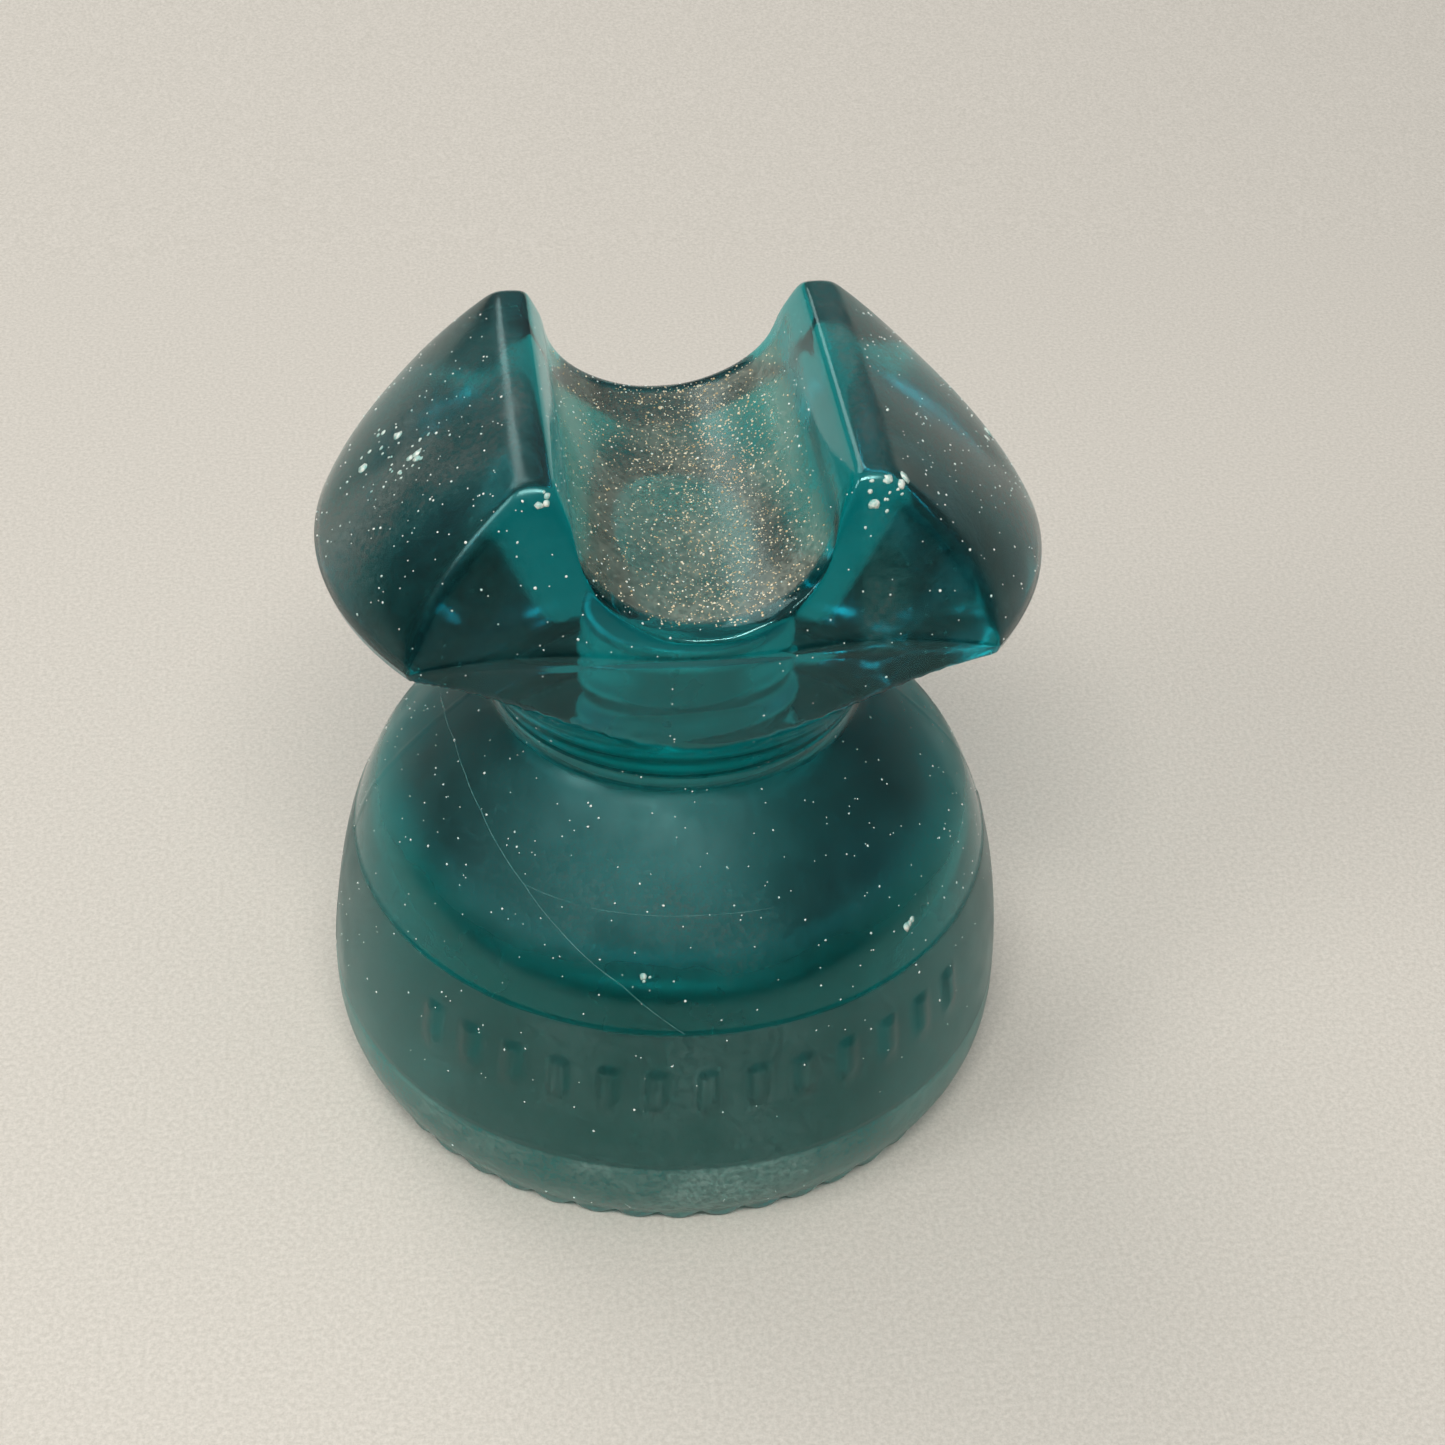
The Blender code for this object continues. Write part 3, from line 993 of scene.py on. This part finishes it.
studio = {
    "paperSize": 8.0,           # metres, like every length in this dictionary
    "paperRows": 400,
    "zenith": (0.95, 0.97, 1.0, 1),
    "horizon": (0.18, 0.18, 0.18, 1),
    "skyStrength": 0.46,
    "skyStops": (0.05, 0.75),   # where the sky's two colours lie, from the horizon to straight up
    "lamps": (                  # place, width and depth, power and colour
        ((-0.10, -0.72, 1.12), (0.75, 0.18), 9.5, (1.0, 0.97, 0.93)),
        ((-0.85, -0.45, 0.78), (0.35, 0.35), 3.0, (1.0, 0.98, 0.95)),
        ((-0.55, 0.95, 1.10), (0.9, 0.9), 6.0, (1.0, 0.98, 0.95)),
    ),
    "sweepStart": 0.24,         # where the paper starts to rise behind, over what length, and how fast
    "sweepLength": 0.45,
    "sweepRise": 0.9,
}
camera = {
    "azimuth": -9.1,            # degrees round from the front, and above the table
    "elevation": 39.2,
    "roll": 2.8,
    "distance": 0.410,
    "aim": (0.0077, 0.0582),    # sideways from the axis, and up
    "lens": 66.0,
    "sensor": 36.0,
    "nearest": 0.01,
}


def addStudio():
    bm = bmesh.new()
    bmesh.ops.create_grid(bm, x_segments=1, y_segments=studio["paperRows"], size=studio["paperSize"] / 2)
    for vert in bm.verts:
        past = min(studio["sweepLength"], max(0.0, vert.co.y - studio["sweepStart"]))
        vert.co.z = studio["sweepRise"] * past * past
    for face in bm.faces:
        face.smooth = True
    mesh = bpy.data.meshes.new("paperFloor")
    bm.to_mesh(mesh)
    bm.free()
    floor = bpy.data.objects.new("paperFloor", mesh)
    mesh.materials.append(paper())
    bpy.context.scene.collection.objects.link(floor)

    # the room is bright overhead and dim towards the walls
    world = bpy.data.worlds.new("softRoom")
    world.use_nodes = True
    tree = world.node_tree
    sky = tree.nodes["Background"]
    sky.inputs["Strength"].default_value = studio["skyStrength"]
    direction = tree.nodes.new("ShaderNodeTexCoord")
    split = tree.nodes.new("ShaderNodeSeparateXYZ")
    tree.links.new(direction.outputs["Generated"], split.inputs[0])
    ramp = tree.nodes.new("ShaderNodeValToRGB")
    colours = (studio["horizon"], studio["zenith"])
    for stop, place, colour in zip(ramp.color_ramp.elements, studio["skyStops"], colours):
        stop.position = place
        stop.color = colour
    tree.links.new(split.outputs[2], ramp.inputs["Fac"])
    tree.links.new(ramp.outputs["Color"], sky.inputs["Color"])
    bpy.context.scene.world = world

    for number, (place, size, power, colour) in enumerate(studio["lamps"], 1):
        lamp = bpy.data.lights.new("softLamp%d" % number, "AREA")
        lamp.shape = "RECTANGLE"
        lamp.size, lamp.size_y = size
        lamp.energy = power
        lamp.color = colour
        lampObject = bpy.data.objects.new(lamp.name, lamp)
        lampObject.location = place
        lampObject.rotation_euler = (-Vector(place)).to_track_quat("-Z", "Y").to_euler()
        bpy.context.scene.collection.objects.link(lampObject)
    bpy.context.scene.view_settings.view_transform = "Standard"
    print("studio:", len(studio["lamps"]), "lamps over a paper floor")


def addCamera():
    c = camera
    around, above = radians(c["azimuth"]), radians(c["elevation"])
    back = Vector((sin(around) * cos(above), -cos(around) * cos(above), sin(above)))
    right = Vector((cos(around), sin(around), 0))
    up = back.cross(right)
    turn = radians(c["roll"])
    tilted = cos(turn) * right + sin(turn) * up
    tiltedUp = -sin(turn) * right + cos(turn) * up
    place = back * c["distance"] + right * c["aim"][0] + Vector((0, 0, c["aim"][1]))
    data = bpy.data.cameras.new("mainCamera")
    data.lens = c["lens"]
    data.sensor_width = c["sensor"]
    data.clip_start = c["nearest"]
    view = bpy.data.objects.new("mainCamera", data)
    frameAxes = Matrix((tilted, tiltedUp, back)).transposed().to_4x4()
    view.matrix_world = Matrix.Translation(place) @ frameAxes
    bpy.context.scene.collection.objects.link(view)
    bpy.context.scene.camera = view


glassPiece = buildGlass(tealGlass())
buildGrains(glassPiece)
buildThreads()
addStudio()
addCamera()
